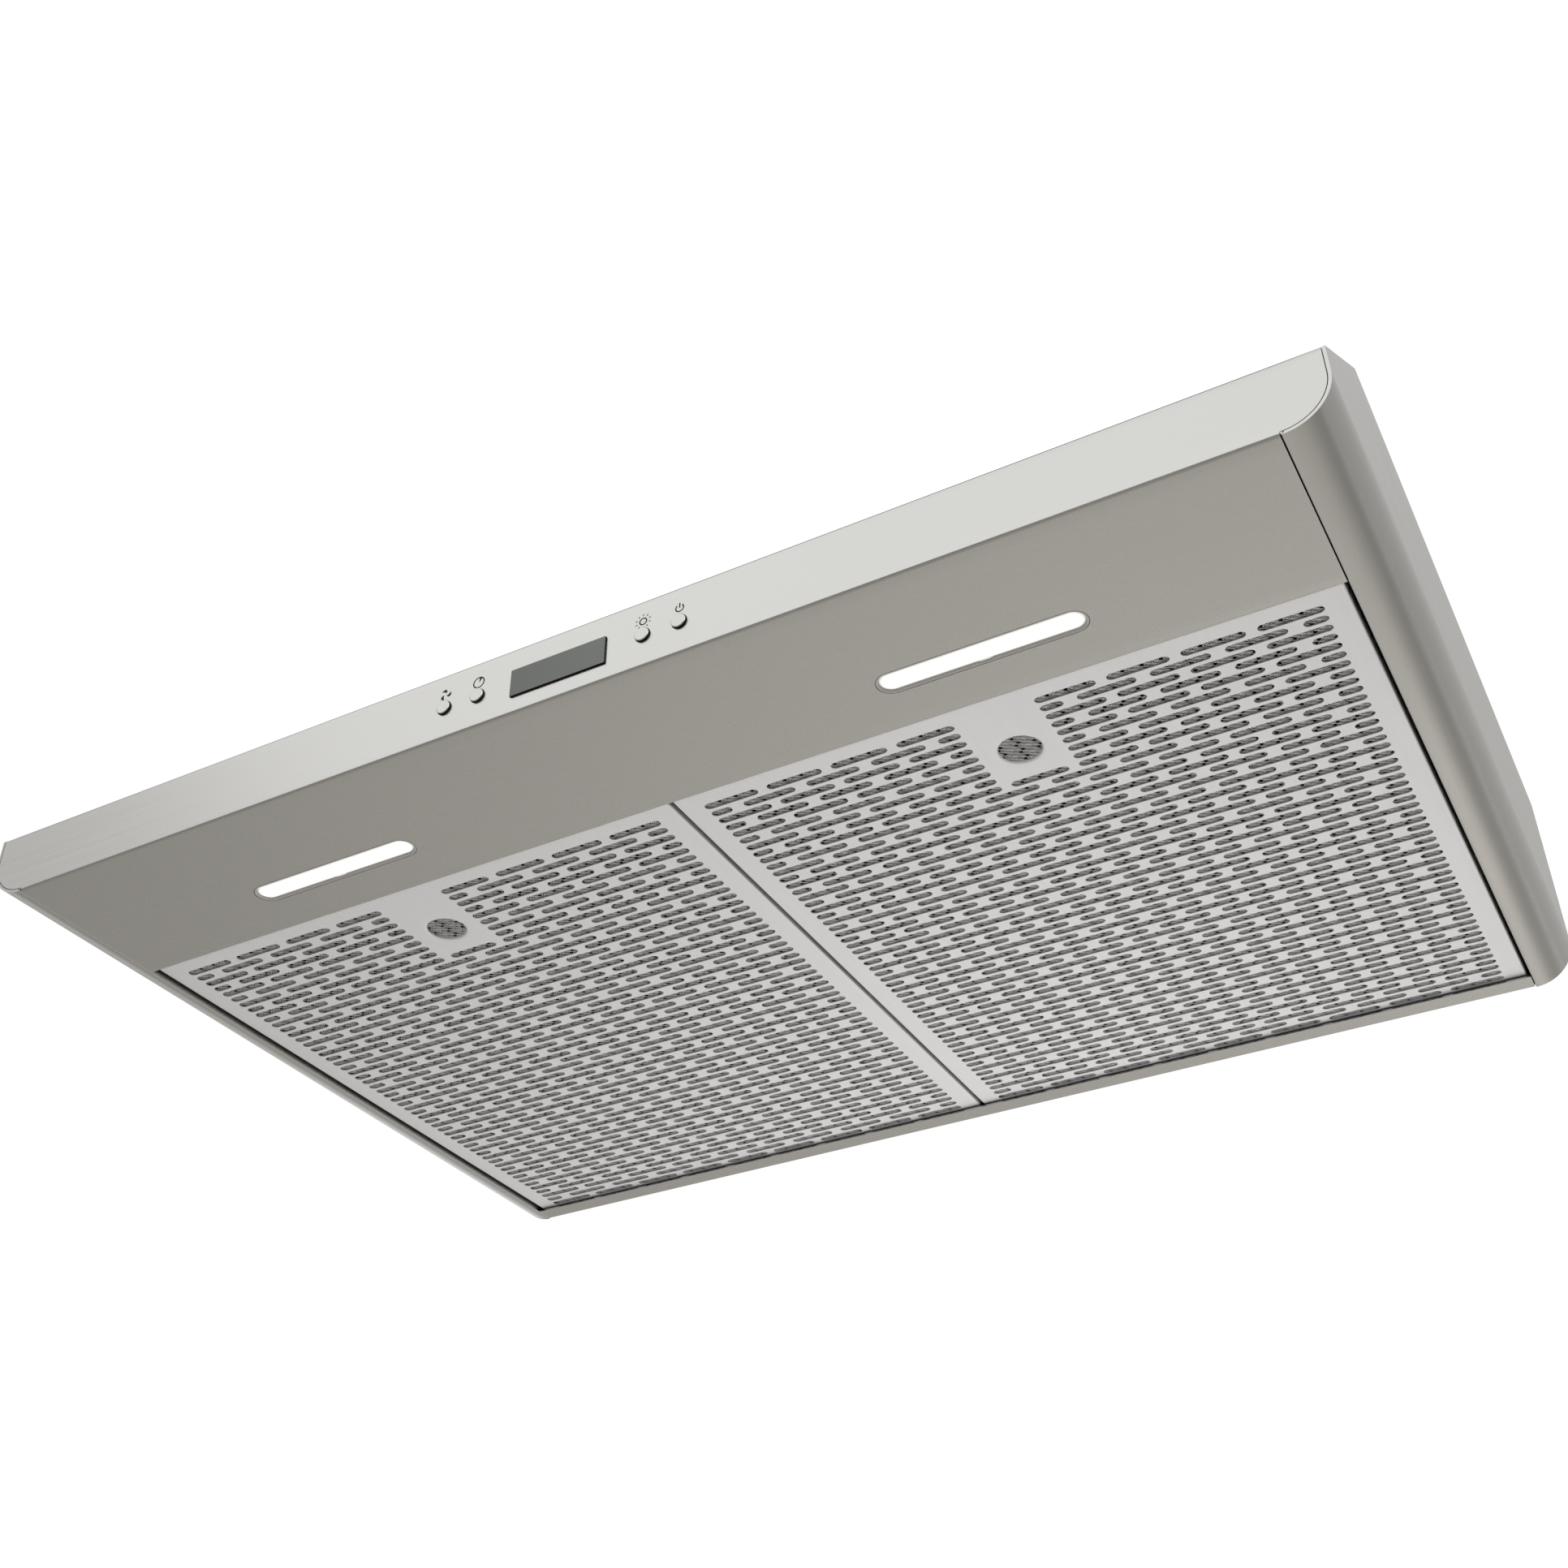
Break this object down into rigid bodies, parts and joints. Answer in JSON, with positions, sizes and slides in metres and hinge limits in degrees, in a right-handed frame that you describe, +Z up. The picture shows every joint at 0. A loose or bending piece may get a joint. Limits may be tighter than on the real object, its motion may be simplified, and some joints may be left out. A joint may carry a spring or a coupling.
{
  "type": "under cabinet range hood",
  "caption": "Low stainless range hood hung under a cabinet, with slotted mesh filters, strip lights, a button panel with a display, and a blower that exhausts through the top.",
  "frame": {"origin": "centre of the hood's footprint, on the plane of its underside", "axes": "+Z up towards the cabinet, front with the controls towards -Y, wall side towards +Y, +X to the right seen from the front"},
  "size_m": [0.759, 0.5156, 0.151],
  "materials": {
    "stainless_casing": "satin brushed",
    "galvanised_sheet": "galvanised, matt",
    "zinc_hardware": "zinc plated",
    "filter_aluminium": "satin",
    "spring_steel": "bright",
    "grey_moulding": "satin grey",
    "frosted_lens": "frosted white",
    "circuit_board": "solder resist",
    "smoked_window": "smoked, glossy",
    "black_moulding": "matt black",
    "button_metal": "satin",
    "motor_enamel": "black enamel",
    "wheel_aluminium": "mill finish",
    "capacitor_case": "glossy",
    "ground_brass": "green dyed",
    "cable_jacket": "matt"
  },
  "bodies": {
    "hood": {"back_panel": "stainless_casing", "blower_screws": "zinc_hardware", "blower_scroll_left": "galvanised_sheet", "blower_scroll_right": "galvanised_sheet", "board_screws": "zinc_hardware", "cap_rivets": "zinc_hardware", "collar_screws": "zinc_hardware", "control_board": "circuit_board", "control_carrier": "black_moulding", "control_cover": "black_moulding", "control_harness": "cable_jacket", "display_module": "black_moulding", "display_window": "smoked_window", "duct_collar": "galvanised_sheet", "end_cap_left": "stainless_casing", "end_cap_right": "stainless_casing", "filter_centre_rail": "galvanised_sheet", "front_panel": "stainless_casing", "ground_screw": "ground_brass", "inlet_ring_left": "galvanised_sheet", "inlet_ring_right": "galvanised_sheet", "lamp_lead_left": "cable_jacket", "lamp_lead_right": "cable_jacket", "led_board_left": "circuit_board", "led_board_right": "circuit_board", "light_housing_left": "grey_moulding", "light_housing_right": "grey_moulding", "light_lens_left": "frosted_lens", "light_lens_right": "frosted_lens", "motor_bearings": "spring_steel", "motor_body": "motor_enamel", "motor_bracket": "galvanised_sheet", "motor_capacitor": "capacitor_case", "power_board": "circuit_board", "power_box": "galvanised_sheet", "power_box_cover": "galvanised_sheet", "rear_cover_screws": "zinc_hardware", "rear_outlet_cover": "galvanised_sheet", "sloped_front_panel": "stainless_casing", "tact_switches": "black_moulding", "terminal_block": "black_moulding", "top_panel": "galvanised_sheet"},
    "filter_left": {"filter_face_left": "filter_aluminium", "filter_mesh_left": "filter_aluminium", "filter_back_left": "filter_aluminium", "filter_clips_left": "spring_steel"},
    "filter_right": {"filter_face_right": "filter_aluminium", "filter_mesh_right": "filter_aluminium", "filter_back_right": "filter_aluminium", "filter_clips_right": "spring_steel"},
    "fan_button": {"button_fan": "button_metal"},
    "timer_button": {"button_timer": "button_metal"},
    "light_button": {"button_light": "button_metal"},
    "power_button": {"button_power": "button_metal"},
    "rotor": {"motor_shaft": "spring_steel", "impeller_left": "wheel_aluminium", "impeller_right": "wheel_aluminium", "impeller_nuts": "zinc_hardware"},
    "damper": {"damper_flap": "galvanised_sheet", "damper_pin": "spring_steel"}
  },
  "joints": [
    {"name": "filter_left_tilt", "type": "hinge", "parent": "hood", "child": "filter_left", "pos_m": [-0.17675, 0.24355, 0.0015], "axis": [1, 0, 0], "range_deg": [0, 40]},
    {"name": "filter_right_tilt", "type": "hinge", "parent": "hood", "child": "filter_right", "pos_m": [0.17675, 0.24355, 0.0015], "axis": [1, 0, 0], "range_deg": [0, 40]},
    {"name": "fan_press", "type": "slide", "parent": "hood", "child": "fan_button", "axis": [0, 1, 0], "range_m": [0, 0.001], "stiffness_N_per_m": 400},
    {"name": "timer_press", "type": "slide", "parent": "hood", "child": "timer_button", "axis": [0, 1, 0], "range_m": [0, 0.001], "stiffness_N_per_m": 400},
    {"name": "light_press", "type": "slide", "parent": "hood", "child": "light_button", "axis": [0, 1, 0], "range_m": [0, 0.001], "stiffness_N_per_m": 400},
    {"name": "power_press", "type": "slide", "parent": "hood", "child": "power_button", "axis": [0, 1, 0], "range_m": [0, 0.001], "stiffness_N_per_m": 400},
    {"name": "rotor_spin", "type": "hinge", "parent": "hood", "child": "rotor", "pos_m": [0, 0.07875, 0.066], "axis": [1, 0, 0], "continuous": true},
    {"name": "damper_swing", "type": "hinge", "parent": "hood", "child": "damper", "pos_m": [0, 0.2195, 0.133], "axis": [-1, 0, 0], "range_deg": [0, 80]}
  ]
}
